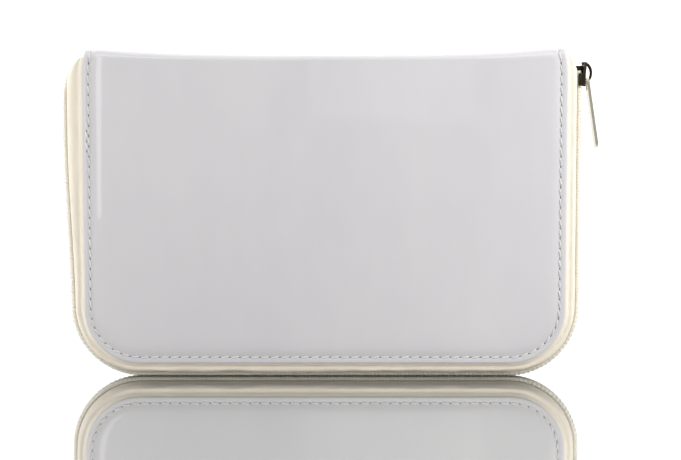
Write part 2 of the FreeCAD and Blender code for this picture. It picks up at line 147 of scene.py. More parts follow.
class Finish:
    """A material with one Principled surface."""

    def __init__(self, name, **sockets):
        self.material = bpy.data.materials.new(name)
        self.material.use_nodes = True
        self.tree = self.material.node_tree
        self.shader = self.tree.nodes["Principled BSDF"]
        self.set(**sockets)

    def put(self, place, value):
        if isinstance(value, Wire):
            self.tree.links.new(value.socket, place)
        elif isinstance(value, tuple) and len(value) == 3 and place.type == "RGBA":
            place.default_value = (*value, 1.0)
        else:
            place.default_value = value

    def set(self, **sockets):
        """Sockets of the shader by name, with _ for a space."""
        for name, value in sockets.items():
            self.put(self.shader.inputs[name.replace("_", " ")], value)
        return self

    def node(self, kind, settings=None, sockets=None, output=0):
        """Any node: its settings are set first, then its sockets by name or number."""
        made = self.tree.nodes.new(f"ShaderNode{kind}")
        for name, value in (settings or {}).items():
            setattr(made, name, value)
        for name, value in (sockets or {}).items():
            self.put(made.inputs[name], value)
        return Wire(self.tree, made.outputs[output])

    def place(self, scale=(1, 1, 1)):
        """Object coordinates, stretched."""
        spot = self.node("TexCoord", output=3)
        return self.node("Mapping", sockets={"Vector": spot, "Scale": scale})

    def cloud(self, vector, scale, detail=2.0, roughness=0.5):
        """Soft noise from 0 to 1."""
        return self.node("TexNoise", sockets={
            "Vector": vector, "Scale": scale, "Detail": detail, "Roughness": roughness})

    def blend(self, share, first, second):
        """A colour between two."""
        return self.node("Mix", {"data_type": "RGBA"}, {0: share, 6: first, 7: second}, output=2)

    def bump(self, height, distance, strength=1.0):
        self.set(Normal=self.node("Bump", sockets={
            "Height": height, "Distance": distance, "Strength": strength}))
        return self

    def parts(self, vector):
        """The three numbers of a vector."""
        split = self.tree.nodes.new("ShaderNodeSeparateXYZ")
        self.tree.links.new(vector.socket, split.inputs[0])
        return [Wire(self.tree, socket) for socket in split.outputs]


# %% [markdown]
# ## The finishes
# Patent material is a coloured base under a clear, almost perfect coat, so its base is given some
# roughness and its coat almost none. The colour drifts a little, and the coat has the faint
# ripple of film laid over cloth.

# %% Patent skin
def patent_finish():
    skin = Finish("patent_skin", Roughness=0.32, Coat_Weight=1.0, Coat_Roughness=0.025, Coat_IOR=1.5)
    spot = skin.place()
    drift = skin.cloud(skin.place((1, 1, 0.4)), 26.0, 4.0, 0.6)
    skin.set(Base_Color=skin.blend(drift, (0.585, 0.57, 0.59), (0.685, 0.672, 0.682)))
    ripple = skin.cloud(spot, 55.0, 2.0)
    grain = skin.cloud(spot, 900.0, 1.0)
    return skin.bump(ripple + grain * 0.02, 0.00022, 0.35).material


patent = patent_finish()

# %% [markdown]
# Sewing thread is two strands twisted together. The twist is a slanted wave across each stitch.
# A needle hole is only a pit, so its shade is painted: a dull dark colour stands in for it.

# %% Thread, and the painted shade of needle holes
def thread_finish(name, light, dark, turns):
    thread = Finish(name, Roughness=0.6, Sheen_Weight=0.3)
    x, y, z = thread.parts(thread.place())
    twist = ((x + y + z) * turns).wave()
    thread.set(Base_Color=thread.blend(twist, dark, light))
    return thread.bump(twist, 0.00006, 0.6).material


cover_thread = thread_finish("cover_thread", (0.88, 0.86, 0.85), (0.60, 0.57, 0.56), 9000.0)
zip_thread = thread_finish("zip_thread", (0.93, 0.87, 0.74), (0.74, 0.64, 0.46), 9000.0)


def hole_shade_paint():
    hole = Finish("needle_hole", Roughness=0.9)
    speck = hole.cloud(hole.place(), 3000.0)
    # Painted shade: the dark colour stands in for the shade inside a needle hole.
    return hole.set(Base_Color=hole.blend(speck, (0.10, 0.085, 0.075), (0.2, 0.18, 0.165))).material


needle_hole = hole_shade_paint()

# %% [markdown]
# The zip tape is a narrow twill. Its own map runs along the tape in one direction and across it
# in the other, so the ribs can follow the bends: slanted ribs that turn back every few
# millimetres make the herringbone, and fine cross threads cut them up.

# %% Woven tape
TURN_BACK = 1.6 * MM                          # how far the ribs slant before they turn back
RIBS, CROSS_THREADS = 10500.0, 9000.0         # radians in a metre


def tape_finish(name, light, dark):
    tape = Finish(name, Roughness=0.85, Sheen_Weight=0.25)
    along, across, _ = tape.parts(tape.node("UVMap", {"uv_map": "weave"}))
    slant = tape.node("Math", {"operation": "PINGPONG"}, {0: across, 1: TURN_BACK})
    ribs = ((along + slant * 0.9) * RIBS).wave()
    threads = (across * CROSS_THREADS).wave()
    weave = ribs * 0.7 + threads * 0.3
    slub = tape.cloud(tape.place(), 1500.0, 2.0)
    stain = tape.cloud(tape.place(), 60.0, 3.0)
    tape.set(Base_Color=tape.blend(weave * 0.4 + slub * 0.35 + stain * 0.25, dark, light))
    return tape.bump(weave * 0.7 + slub * 0.3, 0.00016, 0.8).material


zip_tape = tape_finish("zip_tape", (0.98, 0.91, 0.79), (0.80, 0.71, 0.58))

# %% [markdown]
# The coils are pale nylon wire, a little uneven in tone. The metal parts are plated nickel. The
# slider's base colour is made very dark: it paints the dark reflections and shade that polished
# metal shows, as there is nothing dark around it to reflect. The pull is a paler, brushed nickel.

# %% Nylon coil and plated metal, with painted dark reflections on the slider
def coil_finish():
    coil = Finish("nylon_coil", Roughness=0.4)
    tone = coil.cloud(coil.place(), 130.0, 2.0)
    return coil.set(Base_Color=coil.blend(tone, (0.93, 0.90, 0.82), (0.98, 0.96, 0.91))).material


def metal_finish(name, light, dark, roughness, brush):
    metal = Finish(name, Metallic=1.0)
    streaks = metal.cloud(metal.place(brush), 420.0, 4.0, 0.65)
    cloud = metal.cloud(metal.place(), 240.0, 2.0)
    metal.set(Base_Color=metal.blend(streaks * 0.6 + cloud * 0.4, dark, light))
    metal.set(Roughness=cloud * 0.12 + streaks * 0.1 + roughness)
    return metal.bump(streaks, 0.00002, 0.35).material


nylon_coil = coil_finish()
cord_cloth = thread_finish("cord_cloth", (0.97, 0.94, 0.86), (0.87, 0.82, 0.70), 5000.0)
# Painted reflection: the slider's dark base colour stands in for the dark reflections and shade it shows.
dark_nickel = metal_finish("dark_nickel", (0.105, 0.082, 0.055), (0.02, 0.018, 0.016), 0.12, (1, 1, 1))
pale_nickel = metal_finish("pale_nickel", (0.86, 0.80, 0.68), (0.52, 0.46, 0.36), 0.16, (6, 6, 0.25))

# %% [markdown]
# Inside are plain things: paper, cloth and card. A closed block of pages shows its leaves as
# fine lines on the edges, so the paper's lines are laid through its thickness.

# %% Paper, cloth, card and ribbon
def paper_finish(name, light, dark, leaves):
    paper = Finish(name, Roughness=0.8)
    spot = paper.place()
    _, depth, _ = paper.parts(spot)
    fibre = paper.cloud(spot, 900.0, 4.0, 0.6)
    uneven = paper.cloud(paper.place((1, 60, 1)), 70.0, 2.0)
    lines = ((depth + uneven * 0.00008) * leaves).wave()
    paper.set(Base_Color=paper.blend(lines * 0.5 + fibre * 0.5, dark, light))
    return paper.bump(lines * 0.6 + fibre * 0.4, 0.00003, 0.5).material


def cloth_finish(name, light, dark, threads, sheen=0.3):
    cloth = Finish(name, Roughness=0.75, Sheen_Weight=sheen)
    x, y, z = cloth.parts(cloth.place())
    weave = ((x + y) * threads).wave() * (z * threads).wave()
    tone = cloth.cloud(cloth.place(), 90.0, 3.0)
    cloth.set(Base_Color=cloth.blend(weave * 0.5 + tone * 0.5, dark, light))
    return cloth.bump(weave, 0.00008, 0.5).material


page_paper = paper_finish("page_paper", (0.86, 0.83, 0.75), (0.7, 0.66, 0.57), 60000.0)
endpaper = paper_finish("endpaper", (0.84, 0.80, 0.71), (0.78, 0.73, 0.63), 500.0)
lining_cloth = cloth_finish("lining_cloth", (0.80, 0.78, 0.76), (0.66, 0.64, 0.62), 9000.0)
mull_cloth = cloth_finish("mull_cloth", (0.74, 0.71, 0.62), (0.45, 0.42, 0.34), 4200.0)
band_silk = cloth_finish("band_silk", (0.82, 0.78, 0.68), (0.50, 0.36, 0.2), 5200.0, 0.6)
ribbon_satin = cloth_finish("ribbon_satin", (0.78, 0.70, 0.52), (0.66, 0.57, 0.39), 14000.0, 0.8)
greyboard = paper_finish("greyboard", (0.42, 0.4, 0.37), (0.3, 0.28, 0.26), 2000.0)

# %% [markdown]
# ## From a bmesh to a piece
# Each piece ends the same way: the mesh is written to an object at the origin, shaded smooth,
# and given its finish.

# %% Make a piece from a bmesh
def piece(name, bm, finish):
    mesh = bpy.data.meshes.new(name)
    bm.to_mesh(mesh)
    bm.free()
    mesh.materials.append(finish)
    mesh.polygons.foreach_set("use_smooth", [True] * len(mesh.polygons))
    made = bpy.data.objects.new(name, mesh)
    bpy.context.scene.collection.objects.link(made)
    return made


def add_modifier(made, kind, **settings):
    modifier = made.modifiers.new(kind.title(), kind)
    for name, value in settings.items():
        setattr(modifier, name, value)


# %% [markdown]
# ## The skin is made flat and then folded
# A maker cuts one rounded sheet, sews round it flat, and folds it over the spine. The lesson does
# the same. The sheet is one face with its corners bevelled round. Insets follow the edge inwards
# and give the relief: the turned edge, the stitched margin with its groove, and the shoulder of
# the padding. Each ring's height is how far it lies from the face of the padded panel.

# %% Sizes of the flat sheet
FLAT = HALF_DEEP - ROLL                       # flat of the spine, from its middle
ARC = ROLL * math.pi / 2                      # length of the roll
LENGTH = FLAT + ARC + (HINGE - LOW)           # middle of the spine to the fore edge
STITCH = 4.0 * MM                             # from needle hole to needle hole
RELIEF = [                                    # distance from the edge and height, in mm
    (0.0, -1.20), (0.12, -0.90), (0.35, -0.74), (0.8, -0.64), (1.6, -0.62), (2.1, -0.70),
    (2.5, -0.84), (2.9, -0.72), (3.4, -0.58), (4.0, -0.42), (4.8, -0.24), (5.8, -0.11), (7.2, -0.03),
    (9.2, 0.0),
]
PINCH = {2.1: 0.05, 2.5: 0.12, 2.9: 0.07}     # how much deeper a needle hole pulls the groove
SEAM_RING = 6                                 # the ring of RELIEF that the needle goes through
CUT_STEP = 3                                  # inner cuts fall on every third edge vertex
ROLL_CUTS = 6                                 # extra cuts in the quarter turn of the roll
SKIN_THICK = 0.8 * MM
print("the flat sheet is", round(HALF_WIDE * 2 / MM), "by", round(LENGTH * 2 / MM), "mm")

# %% [markdown]
# The edge is divided so that two vertices make one stitch. The seam can then pull the groove down
# at every needle hole, which puckers the skin as real stitches do.

# %% The flat outline
def half_stitches(length):
    return 2 * round(length / STITCH)


def flat_outline(half_wide, low, high, corner):
    """One face with round corners, its edge divided into half stitches."""
    bm = bmesh.new()
    corners = [bm.verts.new((x * half_wide, s, 0)) for x, s in ((-1, low), (1, low), (1, high), (-1, high))]
    bm.faces.new(corners)
    cuts = max(half_stitches(corner * math.pi / 2), 4)
    for pair in (corners[:2], corners[2:]):
        bmesh.ops.bevel(
            bm, geom=pair, offset=corner, segments=cuts, profile=0.5, affect="VERTICES", material=-1)
    for edge in [edge for edge in bm.edges if edge.calc_length() > STITCH * 2]:
        bmesh.ops.subdivide_edges(bm, edges=[edge], cuts=half_stitches(edge.calc_length()) - 1)
    return bm


def rings_of(bm, relief):
    """Inset the only face ring by ring. Gives the rings from the edge inwards, each in order."""
    bm.faces.ensure_lookup_table()
    face = bm.faces[0]
    rings = []
    for (near, _), (far, _) in zip(relief, relief[1:]):
        bmesh.ops.inset_region(
            bm, faces=[face], thickness=(far - near) * MM, use_even_offset=True, use_boundary=True)
        inner = [loop.vert for loop in face.loops]
        kept = set(inner)
        outer = [next(edge.other_vert(vert) for edge in vert.link_edges if edge.other_vert(vert) not in kept)
                 for vert in inner]
        rings.append(outer)
    return rings + [inner]


# %% [markdown]
# The inner face is cut into a grid, so that it can carry the slow waves of a hand-filled pad.
# The spine's roll needs closer cuts than the rest, because it turns a right angle in 5 mm.

# %% Cut the sheet
def cut_across(bm, axis, place, faces=None):
    """Cut the mesh, or only some faces, where one coordinate has one value."""
    chosen = faces or bm.faces[:]
    geometry = list({part for face in chosen for part in (face, *face.edges, *face.verts)})
    spot, normal = [0, 0, 0], [0, 0, 0]
    spot[axis], normal[axis] = place, 1
    bmesh.ops.bisect_plane(bm, geom=geometry, dist=1e-6, plane_co=spot, plane_no=normal)


def inner_faces(bm, half_wide, length, inset):
    def inside(face):
        middle = face.calc_center_median()
        inner = abs(middle.x) < half_wide - inset and abs(middle.y) < length - inset
        return inner and len(face.verts) != 4
    return [face for face in bm.faces if inside(face)]


# %% Fold the sheet over the spine
def ease(value):
    """0 to 1 with soft ends."""
    value = min(max(value, 0.0), 1.0)
    return value * value * (3 - 2 * value)


def fold(x, s, height, side):
    """Place a flat point: x along the spine, s from its middle, height from the panel's face."""
    if s < FLAT:
        return Vector((MIDDLE_X + x, side * s, TOP + height))
    turn = min((s - FLAT) / ROLL, math.pi / 2)
    reach = ROLL + height
    drop = max(s - FLAT - ARC, 0)
    out, up = reach * math.sin(turn), reach * math.cos(turn)
    return Vector((MIDDLE_X + x, side * (FLAT + out), HINGE + up - drop))


SAG = 0.75                                    # of the middle of the spine, in mm
LEFT_LIFT, RIGHT_LIFT = 2.0, 2.7              # of the spine's ends, in mm
DRAWN_IN = 1.2 * MM                           # how far the seam pulls each end inwards


def settle(x, s):
    """The middle of the spine sags a little, and the ends of the spine are drawn in by the seam."""
    window = ease(1 - max(s - FLAT, 0) / (ARC * 1.6))
    drawn = ease((abs(x) / MM - 80) / 14) * ease(1 - (s - FLAT) / (9 * MM))
    share = x / HALF_WIDE
    lift = (LEFT_LIFT if x < 0 else RIGHT_LIFT) * share ** 4 - SAG * (1 - share ** 2)
    return Vector((-math.copysign(DRAWN_IN * drawn, x), 0, lift * MM * window))


SLOW_SCALE, SLOW_HEIGHT = 16, 0.16            # waves in a metre, and height in mm
QUICK_SCALE, QUICK_HEIGHT = 45, 0.035
MARGIN, FADE = 3 * MM, 14 * MM                # the still edge, and where the waves grow


def swell(x, s, seed):
    """Slow waves of the padding: nothing at the stitches or at the middle of the spine."""
    inside = ease((HALF_WIDE - abs(x) - MARGIN) / FADE) * ease((LENGTH - s - MARGIN) / FADE)
    slow = noise.noise(Vector((x * SLOW_SCALE, s * SLOW_SCALE, seed)))
    quick = noise.noise(Vector((x * QUICK_SCALE, s * QUICK_SCALE, seed + 7)))
    height = (SLOW_HEIGHT * slow + QUICK_HEIGHT * quick) * MM
    return height * inside * ease((s - 2 * MM) / (20 * MM))


# %% [markdown]
# The two covers are the same sheet, cut along the middle of the spine, because each half bends at
# its own hinge. The waves die away at that cut, so the halves meet without a step.

# %% Build half of the skin
def skin_half(name, side, seed):
    bm = flat_outline(HALF_WIDE, -LENGTH, LENGTH, CORNER)
    rings = rings_of(bm, RELIEF)
    holes = [vert.co.copy() for vert in rings[SEAM_RING][::2]]
    for (inset, height), ring in zip(RELIEF, rings):
        for index, vert in enumerate(ring):
            vert.co.z = (height - (PINCH.get(inset, 0) if index % 2 == 0 else 0)) * MM
    step = STITCH / 2 * CUT_STEP
    inner = RELIEF[-1][0] * MM
    bm.normal_update()
    for axis, reach in ((0, HALF_WIDE - inner), (1, LENGTH - inner)):
        count = int(reach / step)
        for index in range(-count, count + 1):
            cut_across(bm, axis, index * step, inner_faces(bm, HALF_WIDE, LENGTH, inner))
    for index in range(-2, ROLL_CUTS + 3):
        cut_across(bm, 1, FLAT + ARC * index / ROLL_CUTS)
    geometry = bm.verts[:] + bm.edges[:] + bm.faces[:]
    bmesh.ops.bisect_plane(
        bm, geom=geometry, dist=1e-6, plane_co=(0, 0, 0), plane_no=(0, -1, 0), clear_outer=True)
    for vert in bm.verts:
        x, s, height = vert.co
        height += swell(x, s, seed)
        vert.co = fold(x, s, height, side) + settle(x, s)
    bmesh.ops.recalc_face_normals(bm, faces=bm.faces)
    bm.faces.ensure_lookup_table()
    if sum(face.normal.y * side * face.calc_area() for face in bm.faces) < 0:
        bmesh.ops.reverse_faces(bm, faces=bm.faces)
    for edge in bm.edges:
        edge.smooth = not all(abs(vert.co.y) < 1e-6 for vert in edge.verts)
    made = piece(name, bm, patent)
    add_modifier(made, "SUBSURF", levels=1, render_levels=1)
    add_modifier(made, "SOLIDIFY", thickness=SKIN_THICK, offset=-1.0)
    return made, [hole for hole in holes if hole.y > -STITCH / 4]


skins = {}
needle_holes = {}
for seed, (half, side) in enumerate(SIDES.items()):
    skins[half], needle_holes[half] = skin_half(f"{half}_patent_skin", side, seed * 31.0)
    print(half, "skin has", len(skins[half].data.polygons), "faces")
    print("its seam has", len(needle_holes[half]), "needle holes")

# %% [markdown]
# Half of the skin turns with its cover and half stays on the spine. Here each half only has its
# place baked into its mesh, and anything sewn to the skin is treated in the same way.


def bend(made):
    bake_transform(made)


for half, skin in skins.items():
    bend(skin)
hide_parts("front_cover_skin", "front_foam", "spine_skin")
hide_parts("rear_cover_skin", "rear_foam")

# %% [markdown]
# The ends of the spine would show a dark hollow under the skin. A strip of lining turned down
# there closes it, which is a guess at how such a case is finished. It is a flat grid whose top
# row is sewn under the folded skin and whose foot hangs inside the zip tapes.

# %% Turn the lining down at the ends of the spine
END_REACH = FLAT + 2.4 * MM                   # how far round the roll the strip is sewn
END_INSET, END_DEPTH = 1.0 * MM, -1.1 * MM    # from the skin's edge, and under its face
FOOT_IN, FOOT_HALF, FOOT_DOWN = 1.2 * MM, 8.6 * MM, 4.5 * MM
HOLLOW = 0.8 * MM


def spine_ends():
    bm = bmesh.new()
    for mirror in (-1, 1):
        made = bmesh.ops.create_grid(bm, x_segments=18, y_segments=5, size=0.5)["verts"]
        for vert in made:
            s, down = vert.co.x * 2 * END_REACH, 0.5 - vert.co.y
            across = abs(s)
            edge = mirror * (HALF_WIDE - END_INSET)
            top = fold(edge, across, END_DEPTH, 1 if s > 0 else -1) + settle(edge, across)
            foot_y = min(max(top.y, -FOOT_HALF), FOOT_HALF)
            foot = Vector((top.x - mirror * FOOT_IN, foot_y, HINGE - FOOT_DOWN))
            vert.co = top.lerp(foot, down)
            vert.co.x -= mirror * HOLLOW * math.sin(math.pi * down)
    bmesh.ops.recalc_face_normals(bm, faces=bm.faces)
    made = piece("spine_end_cloths", bm, lining_cloth)
    add_modifier(made, "SOLIDIFY", thickness=0.4 * MM, offset=0.0)
    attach(made, "book_block")


spine_ends()

# %% [markdown]
# ## Stitches
# A stitch is a short length of thread that comes out of one needle hole and goes down the next.
# It is a small ball drawn out to a capsule, sunk at both ends. One is made, copied to every pair
# of holes on the flat sheet, and folded with it. A dark capsule in each hole paints its shade.

# %% One stitch and one hole, as small meshes
def capsule(length, width, dip):
    """A capsule along x whose ends dip."""
    bm = bmesh.new()
    bmesh.ops.create_uvsphere(bm, u_segments=8, v_segments=5, radius=width / 2)
    bmesh.ops.rotate(bm, verts=bm.verts, cent=(0, 0, 0), matrix=Matrix.Rotation(math.pi / 2, 3, "Y"))
    for vert in bm.verts:
        share = vert.co.x / (width / 2)
        vert.co.x = (length / 2) * math.copysign(min(abs(share), 1) ** 0.8, share)
        vert.co.z -= dip * abs(share) ** 3
    mesh = bpy.data.meshes.new("small_part")
    bm.to_mesh(mesh)
    bm.free()
    return mesh


def place_all(bm, small, places):
    """Add a copy of a small mesh at each matrix."""
    for matrix in places:
        first = len(bm.verts)
        bm.from_mesh(small)
        bm.verts.ensure_lookup_table()
        bmesh.ops.transform(bm, matrix=matrix, verts=bm.verts[first:])
    return bm


def along(start, end, height, slant):
    """A matrix in the flat sheet: x from one point towards another, at a height."""
    run = end - start
    turn = math.atan2(run.y, run.x) + slant
    middle = (start + end) / 2
    return Matrix.Translation((middle.x, middle.y, height)) @ Matrix.Rotation(turn, 4, "Z")


stitch_mesh = capsule(3.35 * MM, 0.62 * MM, 0.42 * MM)
hole_mesh = capsule(0.95 * MM, 0.42 * MM, 0.0)
THREAD_LIES, THREAD_ON_SPINE = -0.58 * MM, -0.80 * MM   # below the face of the panel
PIT_LIES, PIT_ON_SPINE = -0.86 * MM, -1.02 * MM
TACK_LIES, TACK_PIT = -0.5 * MM, -0.74 * MM
TACK_FROM, TACK_TO = 31 * MM, 47 * MM         # the back-tack, from the middle of the spine
TACK_ASIDE = -0.85 * MM
SLANT = math.radians(12)


# %% Sew one half of the cover
def sew(half):
    """Stitches and needle holes of one cover, folded like its skin."""
    side = SIDES[half]
    holes = needle_holes[half]
    stitches, pits = [], []
    slant = SLANT * side
    for first, second in zip(holes, holes[1:]):
        if (first - second).length < STITCH * 1.5:
            sunk = THREAD_LIES if second.y > FLAT and first.y > FLAT else THREAD_ON_SPINE
            stitches.append(along(first, second, sunk, slant))
    for index, hole in enumerate(holes):
        near = holes[index - 1] if index else holes[1]
        sunk = PIT_LIES if hole.y > FLAT + ARC / 2 else PIT_ON_SPINE
        pits.append(along(hole, near, sunk, slant))
        pits[-1].translation = (hole.x, hole.y, sunk)
    if half == "front":
        left = [hole for hole in holes if hole.x < -HALF_WIDE + 5 * MM]
        tack = [hole for hole in left if TACK_FROM < hole.y < TACK_TO]
        shift = Vector((TACK_ASIDE, STITCH / 2, 0))
        for first, second in zip(tack, tack[1:]):
            stitches.append(along(first + shift, second + shift, TACK_LIES, slant))
            pits.append(along(first + shift, second + shift, TACK_PIT, slant))
            pits[-1].translation = (first.x + shift.x, first.y + shift.y, TACK_PIT)
    made = []
    # The needle holes are dark capsules: painted shade for the inside of each hole.
    for name, small, places, finish, slot in (
        ("stitches", stitch_mesh, stitches, cover_thread, "sewing_thread"),
        ("needle_holes", hole_mesh, pits, needle_hole, "patent_cover"),
    ):
        bm = place_all(bmesh.new(), small, places)
        for vert in bm.verts:
            x, s, height = vert.co
            across = abs(s)
            spot = fold(x, across, height, side if s > 0 else -side)
            vert.co = spot + settle(x, across)
        bmesh.ops.recalc_face_normals(bm, faces=bm.faces)
        made.append(piece(f"{half}_{name}", bm, finish))
        bend(made[-1])
    print(half, len(holes), "holes,", len(stitches), "stitches")
    return made


for half in SIDES:
    sewn = sew(half)
    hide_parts(f"{half}_stitching", *(["spine_stitching"] if half == "front" else []))

# %% [markdown]
# ## The zip tapes
# Each tape runs round three sides of its cover. It is sewn in under the skin, bulges outwards as
# soft cloth does, and turns in to the coil. A flat grid carries the weave's own map; then every
# point of the grid is carried round the edge, and small waves give the cloth its slack.

# %% The line of the zip round a cover
DOWN = HINGE - LOW - CORNER
TURN = CORNER * math.pi / 2
ACROSS = (HALF_WIDE - CORNER) * 2
ZIP_LENGTH = 2 * (DOWN + TURN) + ACROSS


def zip_edge(t):
    """Place and outward direction on the cover's edge, t from the left hinge end."""
    half, mirror = min(t, ZIP_LENGTH - t), 1 if t < ZIP_LENGTH / 2 else -1
    if half < DOWN:
        spot, out = (-HALF_WIDE, HINGE - half), (-1.0, 0.0)
    elif half < DOWN + TURN:
        turn = (half - DOWN) / CORNER
        out = (-math.cos(turn), -math.sin(turn))
        spot = (-HALF_WIDE + CORNER + CORNER * out[0], LOW + CORNER + CORNER * out[1])
    else:
        spot, out = (-HALF_WIDE + CORNER + half - DOWN - TURN, LOW), (0.0, -1.0)
    return MIDDLE_X + mirror * spot[0], spot[1], mirror * out[0], out[1]


TAPE_SECTION = [                              # out from the edge and off the middle, in mm
    (-2.2, 9.30), (-0.4, 9.35), (0.45, 9.15), (1.05, 8.15), (1.8, 8.0), (2.55, 8.30),
    (3.15, 7.75), (3.6, 6.8), (3.9, 5.8), (3.86, 5.0), (3.80, 4.5), (4.12, 4.0),
    (4.35, 3.2), (4.38, 2.2), (4.40, 1.0),
]
LEFT_END = -1.6 * MM                          # below the hinge; these ends stand above it
RIGHT_END = -1.6 * MM
EXTRA_REACH = 2.5 * MM                        # of the zip on the left
RISE = 1.12 * MM                              # of the coil's middle off the tape
ROUND_END = 13.0 * MM                         # length of the round end on the left


def fullness(t):
    """Extra reach of the zip on the left, where no slider pulls it straight, in metres."""
    return EXTRA_REACH * ease((DOWN - t + 5 * MM) / (75 * MM))


def coil_rise(t):
    """How far the middle of the coil stands off the tape; it sinks into the cloth at the left end."""
    return RISE * ease((t - 3 * MM) / (12 * MM))


def closing(t):
    """1 along the zip, falling in a round end at the left to 0 at the spine."""
    near = min(max((t - LEFT_END) / ROUND_END, 0.0), 1.0)
    far = min(max((ZIP_LENGTH - RIGHT_END - t) / (5 * MM), 0.0), 1.0)
    return math.sqrt(1 - (1 - near) ** 2) * (0.35 + 0.65 * far)


# %% Build a tape
LOOSE_ROWS = 10                               # rows of the section that ripple
LONG_RIPPLE, SHORT_RIPPLE = 0.42 * MM, 0.16 * MM


def tape(half, seed):
    side = SIDES[half]
    rows, steps = len(TAPE_SECTION), 240
    bm = bmesh.new()
    bmesh.ops.create_grid(bm, x_segments=steps, y_segments=rows - 1, size=0.5)
    widths = [0.0]
    for (u0, y0), (u1, y1) in zip(TAPE_SECTION, TAPE_SECTION[1:]):
        widths.append(widths[-1] + math.hypot(u1 - u0, y1 - y0) * MM)
    start, length = LEFT_END, ZIP_LENGTH - LEFT_END - RIGHT_END
    weave = bm.loops.layers.uv.new("weave")
    for face in bm.faces:
        for loop in face.loops:
            row = round((loop.vert.co.y + 0.5) * (rows - 1))
            loop[weave].uv = (start + (loop.vert.co.x + 0.5) * length, widths[row])
    for vert in bm.verts:
        row = round((vert.co.y + 0.5) * (rows - 1))
        t = start + (vert.co.x + 0.5) * length
        out, off = (value * MM for value in TAPE_SECTION[row])
        slack = math.sin(math.pi * row / LOOSE_ROWS) if row < LOOSE_ROWS else 0.0
        ripple = noise.noise(Vector((t * 110, row * 0.35, seed))) * LONG_RIPPLE
        ripple += noise.noise(Vector((t * 420, row * 0.8, seed + 3))) * SHORT_RIPPLE
        x, z, out_x, out_z = zip_edge(t)
        if out > 0:
            out = (out + fullness(t) * min(out / (4.2 * MM), 1.0)) * closing(t)
        out += ripple * slack
        off += ripple * slack * 0.6
        vert.co = (x + out_x * out, side * off, z + out_z * out)
    bmesh.ops.recalc_face_normals(bm, faces=bm.faces)
    made = piece(f"{half}_zip_cloth", bm, zip_tape)
    add_modifier(made, "SOLIDIFY", thickness=0.5 * MM, offset=0.0)
    add_modifier(made, "SUBSURF", levels=1, render_levels=1)
    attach(made, f"{half}_cover")
    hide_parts(f"{half}_zip_tape")


for half, side in SIDES.items():
    tape(half, 11.0 + side)
print("tapes run", round((ZIP_LENGTH - LEFT_END - RIGHT_END) / MM), "mm")

# %% [markdown]
# ## The coils
# The teeth of this zip are turns of nylon wire. One turn is a hexagon spun into a ring, pressed
# to an oval and sheared so that it climbs like a spring. The turns of one cover lie between those
# of the other.

# %% One turn of the coil
PITCH = 1.5 * MM
WIRE = 0.46 * MM
TURN_HIGH = 0.68 * MM                         # from the middle of a turn to its wire
OVAL = 1.36                                   # how much wider than high a turn is
COIL_OFF = 1.36 * MM                          # each coil's middle, off the middle of the case
COIL_OUT = 4.45 * MM
CLEAR_END = 4.5 * MM                          # the coil stops this far short of the hinge


def round_frame(t, side, out, off):
    """A matrix at t on the zip: x along it, y off the middle, z outwards."""
    x, z, out_x, out_z = zip_edge(t)
    axes = Matrix(((-out_z, 0, out_x), (0, side, 0), (out_x, 0, out_z))).transposed().to_4x4()
    return Matrix.Translation((x + out_x * out, side * off, z + out_z * out)) @ axes


def coil_turn():
    """A sheared oval ring: x along the zip, y off the middle, z outwards."""
    bm = bmesh.new()
    ring = bmesh.ops.create_circle(bm, cap_ends=False, segments=6, radius=WIRE)["verts"]
    bmesh.ops.rotate(bm, verts=ring, cent=(0, 0, 0), matrix=Matrix.Rotation(math.pi / 2, 3, "Y"))
    bmesh.ops.translate(bm, verts=ring, vec=(0, 0, TURN_HIGH))
    bmesh.ops.spin(
        bm, geom=bm.verts[:] + bm.edges[:], cent=(0, 0, 0), axis=(1, 0, 0), angle=math.tau, steps=12,
        use_merge=True, use_duplicate=False)
    bmesh.ops.remove_doubles(bm, verts=bm.verts, dist=1e-6)
    for vert in bm.verts:
        vert.co.y *= OVAL
        vert.co.x += 0.3 * vert.co.y
    bmesh.ops.recalc_face_normals(bm, faces=bm.faces)
    mesh = bpy.data.meshes.new("coil_turn")
    bm.to_mesh(mesh)
    bm.free()
    return mesh


def coil(half):
    side = SIDES[half]
    turn_mesh = coil_turn()
    places = []
    count = int((ZIP_LENGTH - 2 * CLEAR_END) / PITCH)
    for index in range(count):
        t = CLEAR_END + (index + (0.5 if side > 0 else 0)) * PITCH
        out = (COIL_OUT + fullness(t)) * closing(t) + coil_rise(t)
        places.append(round_frame(t, side, out, COIL_OFF))
    bm = place_all(bmesh.new(), turn_mesh, places)
    bmesh.ops.recalc_face_normals(bm, faces=bm.faces)
    made = piece(f"{half}_nylon_coil", bm, nylon_coil)
    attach(made, f"{half}_cover")
    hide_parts(f"{half}_zip_coil")
    print(half, "coil has", count, "turns")


for half in SIDES:
    coil(half)

# %% [markdown]
# A cord runs through the turns, and a line of sewing holds them to the tape. The cord is a flat
# grid rolled into a tube; the sewing is more of the small capsules.

# %% Cord and sewing of the coil
CORD_OUT, CORD_END = 4.43 * MM, 4 * MM
CORD_HIGH, CORD_WIDE = 0.87 * MM, 1.12 * MM   # half height and half width
SEWN_OUT, SEWN_OFF, SEWN_END, SEWN_PITCH = 4.22 * MM, 3.5 * MM, 9 * MM, 2.1 * MM


